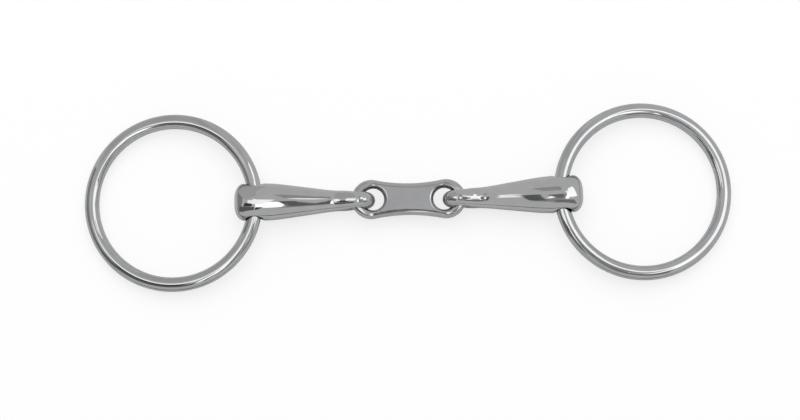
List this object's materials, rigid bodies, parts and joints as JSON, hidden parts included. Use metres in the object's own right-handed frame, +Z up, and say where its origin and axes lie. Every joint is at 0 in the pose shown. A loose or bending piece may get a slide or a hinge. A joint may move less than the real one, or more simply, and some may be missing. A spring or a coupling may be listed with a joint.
{
  "type": "snaffle bit",
  "caption": "Loose-ring snaffle bit with a double-jointed French-link mouthpiece, in polished stainless steel, lying flat.",
  "frame": {"origin": "on the ground plane, under the middle of the whole bit as it lies", "axes": "+X along the mouthpiece from the left ring to the right ring, +Y away from the viewer, +Z up"},
  "size_m": [0.2814, 0.0827, 0.0162],
  "materials": {
    "link_steel": "mirror-polished stainless steel, flat faces finely buffed",
    "cannon_steel": "mirror-polished stainless steel",
    "ring_steel": "polished stainless steel wire, buffed along the wire"
  },
  "bodies": {
    "centre_link": {"centre_link": "link_steel"},
    "left_cannon": {"left_cannon": "cannon_steel"},
    "right_cannon": {"right_cannon": "cannon_steel"},
    "left_ring": {"left_ring": "ring_steel"},
    "right_ring": {"right_ring": "ring_steel"}
  },
  "joints": [
    {"name": "left_cannon_fold", "type": "hinge", "parent": "centre_link", "child": "left_cannon", "pos_m": [-0.02155, -0.00172, 0.0072], "axis": [-0.0175, 0.9998, 0], "range_deg": [-90, 90]},
    {"name": "right_cannon_fold", "type": "hinge", "parent": "centre_link", "child": "right_cannon", "pos_m": [0.02215, -0.00089, 0.0072], "axis": [0.0427, -0.9991, 0], "range_deg": [-90, 90]},
    {"name": "left_ring_swing", "type": "hinge", "parent": "left_cannon", "child": "left_ring", "pos_m": [-0.06663, -0.00251, 0.00819], "axis": [-0.0175, 0.9998, 0], "range_deg": [-165, 172]},
    {"name": "right_ring_swing", "type": "hinge", "parent": "right_cannon", "child": "right_ring", "pos_m": [0.0672, 0.00104, 0.00819], "axis": [0.0427, -0.9991, 0], "range_deg": [-165, 172]}
  ]
}
